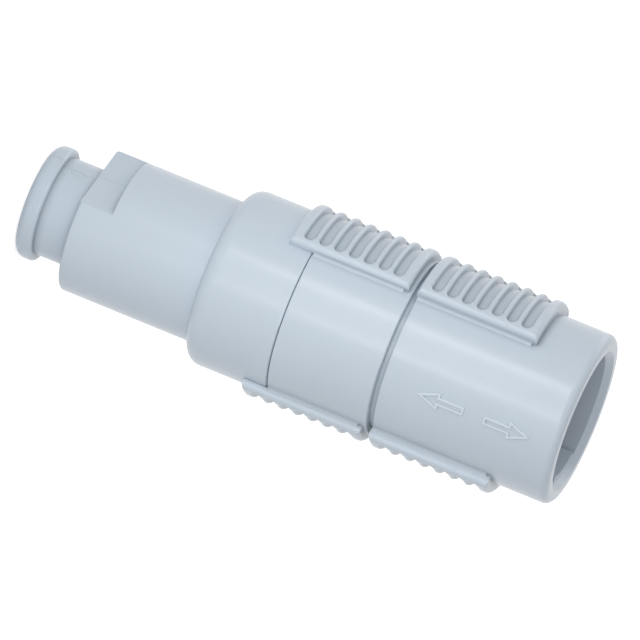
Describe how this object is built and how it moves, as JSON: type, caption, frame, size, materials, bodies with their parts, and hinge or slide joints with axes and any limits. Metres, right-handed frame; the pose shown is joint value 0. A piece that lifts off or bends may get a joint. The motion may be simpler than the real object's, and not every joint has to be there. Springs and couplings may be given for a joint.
{
  "type": "push pull circular connector",
  "caption": "Straight plastic cable connector with a ribbed grip sleeve, a spring-loaded push pull coupling sleeve and a screw-on back nut.",
  "frame": {"origin": "centre of the back nut's rear face, which the connector stands on", "axes": "+Z along the connector's axis towards the mating end, +X through the middle of a grip pad"},
  "size_m": [0.0206, 0.0186, 0.06],
  "materials": {
    "shell_plastic": "fine satin moulding, light blue-grey",
    "clamp_plastic": "natural acetal, satin",
    "insert_plastic": "dark glass-filled plastic",
    "seal_rubber": "soft matt silicone",
    "spring_steel": "drawn wire",
    "contact_gold": "gold plated, turned"
  },
  "bodies": {
    "nut": {"back_nut": "shell_plastic"},
    "clamp": {"clamp_ring": "clamp_plastic"},
    "shell": {"cable_collet": "clamp_plastic", "cable_seal": "seal_rubber", "rear_collar": "shell_plastic", "plug_body": "shell_plastic", "body_oring": "seal_rubber", "grip_sleeve": "shell_plastic", "return_spring": "spring_steel", "stop_ring": "spring_steel", "latch_ring": "clamp_plastic", "insert_retainer": "insert_plastic", "rear_insert": "insert_plastic", "front_insert": "insert_plastic", "contact_1": "contact_gold", "contact_2": "contact_gold", "contact_3": "contact_gold", "contact_4": "contact_gold", "contact_5": "contact_gold", "contact_6": "contact_gold", "contact_7": "contact_gold", "contact_8": "contact_gold"},
    "sleeve": {"coupling_sleeve": "shell_plastic"}
  },
  "joints": [
    {"name": "nut_turn", "type": "hinge", "parent": "nut", "child": "clamp", "pos_m": [0, 0, 0.011], "axis": [0, 0, 1], "range_deg": [0, 1260]},
    {"name": "nut_lift", "type": "slide", "parent": "clamp", "child": "shell", "axis": [0, 0, 1], "range_m": [0, 0.0035]},
    {"name": "sleeve_slide", "type": "slide", "parent": "shell", "child": "sleeve", "axis": [0, 0, 1], "range_m": [-0.0004, 0], "stiffness_N_per_m": 150, "springref_m": 0.0004, "deforming": ["return_spring"]}
  ],
  "couplings": [
    {"joint": "nut_turn", "follows": "nut_lift", "rad_per_m": 6283.1}
  ]
}
